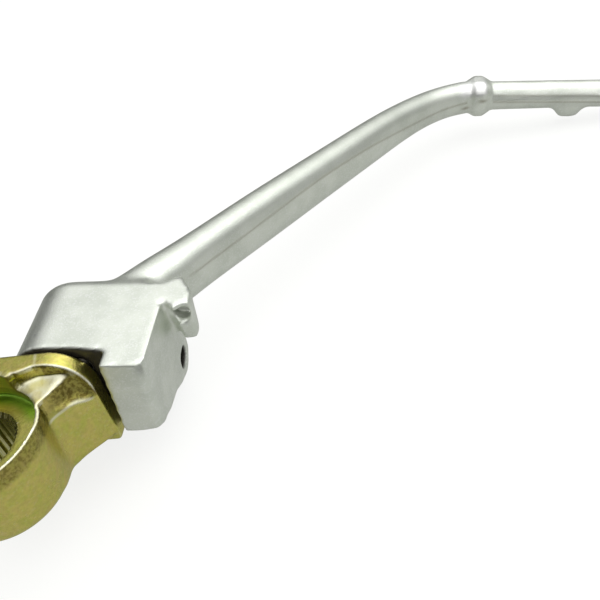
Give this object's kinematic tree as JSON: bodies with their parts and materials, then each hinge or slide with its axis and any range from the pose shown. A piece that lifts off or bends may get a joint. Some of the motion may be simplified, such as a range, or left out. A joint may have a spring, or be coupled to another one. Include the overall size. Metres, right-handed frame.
{
  "type": "kick start lever",
  "caption": "Folding kick start lever: splined steel boss with a pivot flange and a bent forged arm that ends in a round foot peg with a raised collar.",
  "frame": {"origin": "middle of the splined bore of the boss, on the spline axis", "axes": "+Z along the spline axis away from the engine, +Y along the pivot axis on which the arm folds, +X the way the foot peg points when the arm is folded in"},
  "size_m": [0.2241, 0.1799, 0.0378],
  "materials": {
    "zinc_steel": "yellow zinc plating with green and pink tints",
    "forged_alloy": "blasted satin forging",
    "hard_steel": "ground steel",
    "bearing_bronze": "turned bronze",
    "seal_rubber": "black rubber",
    "spring_steel": "drawn spring wire"
  },
  "bodies": {
    "boss": {"kick_boss": "zinc_steel", "thrust_washer": "hard_steel", "seal_ring": "seal_rubber"},
    "arm": {"kick_arm": "forged_alloy", "pivot_bush": "bearing_bronze", "cross_pin": "hard_steel", "detent_spring": "spring_steel"},
    "detent": {"detent_ball": "hard_steel"}
  },
  "joints": [
    {"name": "fold", "type": "hinge", "parent": "boss", "child": "arm", "pos_m": [0.008, 0.03, 0.00285], "axis": [0, -1, 0], "range_deg": [0, 97]},
    {"name": "detent_click", "type": "slide", "parent": "arm", "child": "detent", "axis": [0, -1, 0], "range_m": [0, 0.0008], "stiffness_N_per_m": 200, "springref_m": 0.0008}
  ]
}
